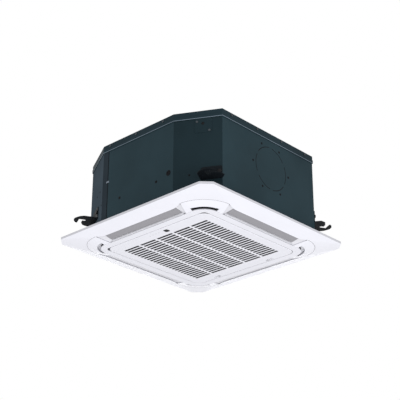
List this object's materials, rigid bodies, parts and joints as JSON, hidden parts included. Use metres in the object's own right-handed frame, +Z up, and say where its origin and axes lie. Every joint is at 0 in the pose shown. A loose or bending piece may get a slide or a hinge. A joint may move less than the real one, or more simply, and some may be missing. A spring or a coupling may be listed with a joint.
{
  "type": "ceiling cassette air conditioner",
  "caption": "Compact ceiling cassette air conditioner: dark casing with corner hanging lugs, white air panel with swinging louvers and a hinged slotted intake grille.",
  "frame": {"origin": "Centre of the unit in plan, at the ceiling face that the panel rim closes against.", "axes": "+Z up into the ceiling void, +X to the refrigerant pipe side, -Y the side with the branch duct knock-out."},
  "size_m": [0.647, 0.647, 0.3132],
  "materials": {
    "body_paint": "dark blue-black, fine satin",
    "panel_white": "smooth white",
    "duct_grey": "light grey, smooth",
    "louver_grey": "mid grey, smooth",
    "foam_black": "closed cell foam",
    "foam_grey": "foil-backed foam",
    "pan_white": "expanded foam beads",
    "steel": "zinc plated",
    "aluminium": "mill finish",
    "copper": "copper tube",
    "brass": "machined",
    "fan_plastic": "moulded",
    "black_plastic": "moulded",
    "rubber": "matt",
    "board_green": "solder mask",
    "window_black": "polished",
    "lamp_clear": "frosted",
    "net_grey": "woven net",
    "winding": "laminated core"
  },
  "bodies": {
    "unit": {"casing_front": "body_paint", "casing_rear": "body_paint", "casing_corner_panel": "body_paint", "top_pan": "body_paint", "lid_screws": "steel", "hanger_lugs": "body_paint", "lug_bolts": "steel", "corner_bracket": "body_paint", "bracket_rivets": "steel", "pipe_plate": "body_paint", "side_insulation": "foam_grey", "top_insulation": "foam_grey", "drain_pan": "pan_white", "bell_mouth": "black_plastic", "motor_stator": "winding", "motor_case": "aluminium", "motor_bearings": "steel", "motor_bracket": "steel", "rubber_bushes": "rubber", "motor_screws": "steel", "coil_fins": "aluminium", "coil_end_plates": "steel", "return_bends": "copper", "gas_pipe": "copper", "liquid_pipe": "copper", "flare_nuts": "brass", "pump_case": "black_plastic", "float_switch": "black_plastic", "drain_pipe": "panel_white", "control_box": "steel", "control_board": "board_green", "control_cover": "steel", "panel_frame": "panel_white", "corner_cover_back_right": "panel_white", "corner_cover_back_left": "panel_white", "corner_cover_front_left": "panel_white", "corner_cover_front_right": "panel_white", "corner_duct_foam": "foam_black", "outlet_ducts": "duct_grey", "louver_motors": "black_plastic", "panel_seals": "foam_black", "panel_bolts": "steel", "hinge_pins": "steel"},
    "fan_rotor": {"turbo_fan": "fan_plastic", "motor_shaft": "steel", "motor_rotor": "winding", "fan_nut": "steel"},
    "grille": {"intake_grille": "panel_white", "air_filter": "net_grey", "display_window": "window_black", "indicator_lights": "lamp_clear", "display_board": "board_green"},
    "latch_back": {"grille_latch_back": "panel_white"},
    "latch_front": {"grille_latch_front": "panel_white"},
    "vane_right": {"louver_right": "louver_grey"},
    "vane_back": {"louver_back": "louver_grey"},
    "vane_left": {"louver_left": "louver_grey"},
    "vane_front": {"louver_front": "louver_grey"},
    "float": {"drain_float": "pan_white"},
    "impeller": {"pump_impeller": "fan_plastic"}
  },
  "joints": [
    {"name": "fan_spin", "type": "hinge", "parent": "unit", "child": "fan_rotor", "pos_m": [0, 0, 0.2], "axis": [0, 0, 1], "continuous": true},
    {"name": "grille_hinge", "type": "hinge", "parent": "unit", "child": "grille", "pos_m": [-0.2042, 0, -0.026], "axis": [0, 1, 0], "range_deg": [0, 90]},
    {"name": "latch_back_slide", "type": "slide", "parent": "grille", "child": "latch_back", "axis": [0, -1, 0], "range_m": [0, 0.008]},
    {"name": "latch_front_slide", "type": "slide", "parent": "grille", "child": "latch_front", "axis": [0, 1, 0], "range_m": [0, 0.008]},
    {"name": "louver_right_swing", "type": "hinge", "parent": "unit", "child": "vane_right", "pos_m": [0.246, 0, -0.0175], "axis": [0, 1, 0], "range_deg": [0, 65]},
    {"name": "louver_back_swing", "type": "hinge", "parent": "unit", "child": "vane_back", "pos_m": [0, 0.246, -0.0175], "axis": [-1, 0, 0], "range_deg": [0, 65]},
    {"name": "louver_left_swing", "type": "hinge", "parent": "unit", "child": "vane_left", "pos_m": [-0.246, 0, -0.0175], "axis": [0, -1, 0], "range_deg": [0, 65]},
    {"name": "louver_front_swing", "type": "hinge", "parent": "unit", "child": "vane_front", "pos_m": [0, -0.246, -0.0175], "axis": [1, 0, 0], "range_deg": [0, 65]},
    {"name": "drain_float_lift", "type": "slide", "parent": "unit", "child": "float", "axis": [0, 0, 1], "range_m": [0, 0.012]},
    {"name": "pump_spin", "type": "hinge", "parent": "unit", "child": "impeller", "pos_m": [0.208, 0.208, 0.07], "axis": [0, 0, 1], "continuous": true}
  ]
}
